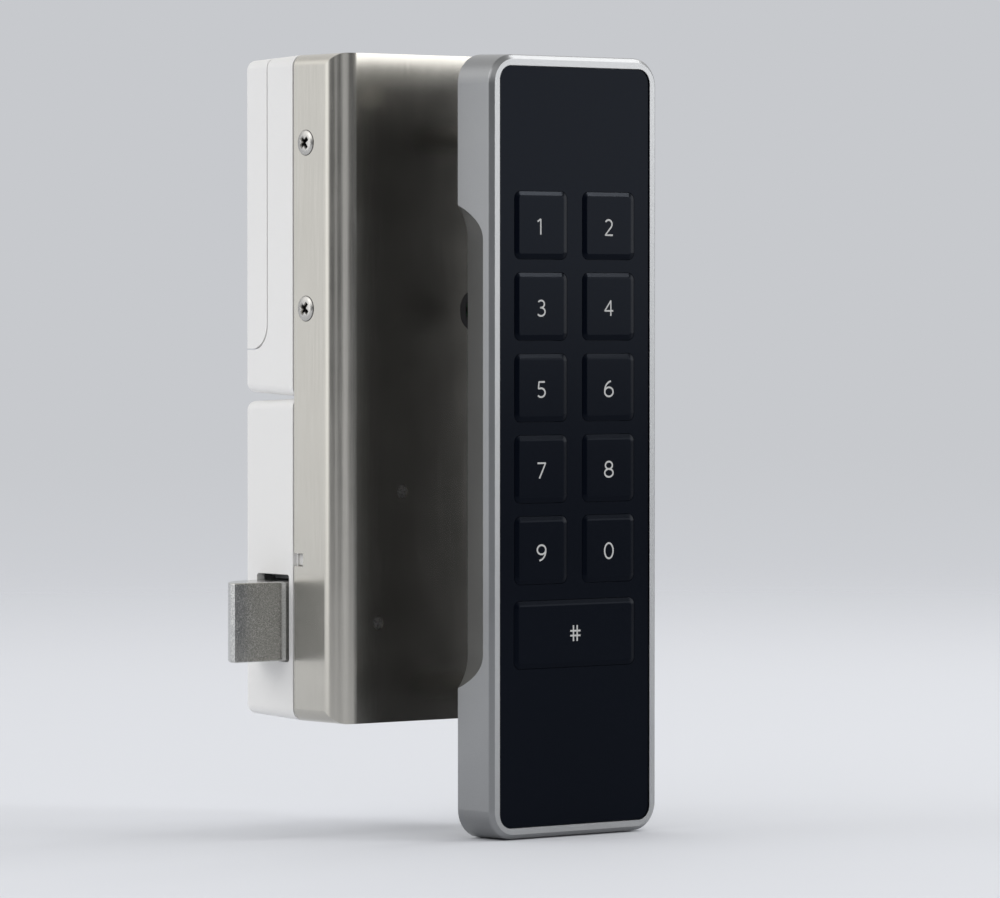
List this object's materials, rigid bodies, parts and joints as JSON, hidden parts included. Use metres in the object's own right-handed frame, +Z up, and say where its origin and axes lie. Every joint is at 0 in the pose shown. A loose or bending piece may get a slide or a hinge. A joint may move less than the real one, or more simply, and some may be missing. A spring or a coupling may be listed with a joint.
{
  "type": "keypad smart lock",
  "caption": "Cabinet-door lock with a keypad in a slim metal frame outside, and a tray with a motor-driven spring latch and battery case inside.",
  "frame": {"origin": "middle of the keypad unit's back face, on the door's outer plane", "axes": "+X to the right seen from outside, +Y into the door, +Z up"},
  "size_m": [0.0696, 0.0591, 0.1505],
  "materials": {
    "satin_cast_metal": "satin plated die casting",
    "dark_panel": "satin",
    "key_plastic": "satin",
    "silicone": "matt",
    "circuit_board": "solder mask",
    "screw_steel": "zinc plated",
    "clear_lens": "clear",
    "black_plastic": "matt",
    "rubber": "matt",
    "nickel_plated_steel": "nickel plated",
    "white_plastic": "fine matt",
    "cell_sleeve": "plain sleeve",
    "cast_latch": "as cast, plated",
    "grey_plastic": "glass filled",
    "brass_gear": "machined",
    "motor_steel": "plated"
  },
  "bodies": {
    "lock": {"keypad_housing": "satin_cast_metal", "fascia_panel": "dark_panel", "keypad_mat": "silicone", "keypad_board": "circuit_board", "keypad_board_screws": "screw_steel", "status_leds": "clear_lens", "keypad_socket": "black_plastic", "keypad_back_cover": "black_plastic", "back_cover_screws": "screw_steel", "fixing_bolts": "screw_steel", "cable_grommets": "rubber", "case_tray": "nickel_plated_steel", "case_screws": "screw_steel", "upper_cover": "white_plastic", "aaa_cells": "cell_sleeve", "cell_contacts": "nickel_plated_steel", "lower_cover": "white_plastic", "latch_guide": "grey_plastic", "motor_cradle": "grey_plastic", "gear_motor": "motor_steel", "mechanism_screws": "screw_steel", "control_board": "circuit_board", "board_standoffs": "brass_gear", "board_screws": "screw_steel", "board_parts": "black_plastic"},
    "key_1": {"key_1": "key_plastic"},
    "key_2": {"key_2": "key_plastic"},
    "key_3": {"key_3": "key_plastic"},
    "key_4": {"key_4": "key_plastic"},
    "key_5": {"key_5": "key_plastic"},
    "key_6": {"key_6": "key_plastic"},
    "key_7": {"key_7": "key_plastic"},
    "key_8": {"key_8": "key_plastic"},
    "key_9": {"key_9": "key_plastic"},
    "key_0": {"key_0": "key_plastic"},
    "key_hash": {"key_hash": "key_plastic"},
    "battery_cover": {"battery_cover": "white_plastic"},
    "carriage": {"latch_carriage": "grey_plastic", "latch_spring": "screw_steel"},
    "latch": {"latch_bolt": "cast_latch"},
    "pinion": {"drive_pinion": "brass_gear", "drive_shaft": "screw_steel"}
  },
  "joints": [
    {"name": "key_1_press", "type": "slide", "parent": "lock", "child": "key_1", "axis": [0, 1, 0], "range_m": [0, 0.0004], "stiffness_N_per_m": 600, "springref_m": -0.0015, "deforming": ["keypad_mat"]},
    {"name": "key_2_press", "type": "slide", "parent": "lock", "child": "key_2", "axis": [0, 1, 0], "range_m": [0, 0.0004], "stiffness_N_per_m": 600, "springref_m": -0.0015, "deforming": ["keypad_mat"]},
    {"name": "key_3_press", "type": "slide", "parent": "lock", "child": "key_3", "axis": [0, 1, 0], "range_m": [0, 0.0004], "stiffness_N_per_m": 600, "springref_m": -0.0015, "deforming": ["keypad_mat"]},
    {"name": "key_4_press", "type": "slide", "parent": "lock", "child": "key_4", "axis": [0, 1, 0], "range_m": [0, 0.0004], "stiffness_N_per_m": 600, "springref_m": -0.0015, "deforming": ["keypad_mat"]},
    {"name": "key_5_press", "type": "slide", "parent": "lock", "child": "key_5", "axis": [0, 1, 0], "range_m": [0, 0.0004], "stiffness_N_per_m": 600, "springref_m": -0.0015, "deforming": ["keypad_mat"]},
    {"name": "key_6_press", "type": "slide", "parent": "lock", "child": "key_6", "axis": [0, 1, 0], "range_m": [0, 0.0004], "stiffness_N_per_m": 600, "springref_m": -0.0015, "deforming": ["keypad_mat"]},
    {"name": "key_7_press", "type": "slide", "parent": "lock", "child": "key_7", "axis": [0, 1, 0], "range_m": [0, 0.0004], "stiffness_N_per_m": 600, "springref_m": -0.0015, "deforming": ["keypad_mat"]},
    {"name": "key_8_press", "type": "slide", "parent": "lock", "child": "key_8", "axis": [0, 1, 0], "range_m": [0, 0.0004], "stiffness_N_per_m": 600, "springref_m": -0.0015, "deforming": ["keypad_mat"]},
    {"name": "key_9_press", "type": "slide", "parent": "lock", "child": "key_9", "axis": [0, 1, 0], "range_m": [0, 0.0004], "stiffness_N_per_m": 600, "springref_m": -0.0015, "deforming": ["keypad_mat"]},
    {"name": "key_0_press", "type": "slide", "parent": "lock", "child": "key_0", "axis": [0, 1, 0], "range_m": [0, 0.0004], "stiffness_N_per_m": 600, "springref_m": -0.0015, "deforming": ["keypad_mat"]},
    {"name": "key_hash_press", "type": "slide", "parent": "lock", "child": "key_hash", "axis": [0, 1, 0], "range_m": [0, 0.0004], "stiffness_N_per_m": 600, "springref_m": -0.0015, "deforming": ["keypad_mat"]},
    {"name": "battery_cover_slide", "type": "slide", "parent": "lock", "child": "battery_cover", "axis": [0, 0, 1], "range_m": [0, 0.058]},
    {"name": "carriage_slide", "type": "slide", "parent": "lock", "child": "carriage", "axis": [1, 0, 0], "range_m": [0, 0.013]},
    {"name": "pinion_spin", "type": "hinge", "parent": "lock", "child": "pinion", "pos_m": [-0.01, 0.02795, -0.028], "axis": [0, 0, 1], "range_deg": [-207.5, 0]},
    {"name": "latch_slide", "type": "slide", "parent": "carriage", "child": "latch", "axis": [1, 0, 0], "range_m": [0, 0.013], "stiffness_N_per_m": 150, "springref_m": -0.012, "deforming": ["latch_spring"]}
  ],
  "couplings": [
    {"joint": "pinion_spin", "follows": "carriage_slide", "rad_per_m": -277.78}
  ]
}
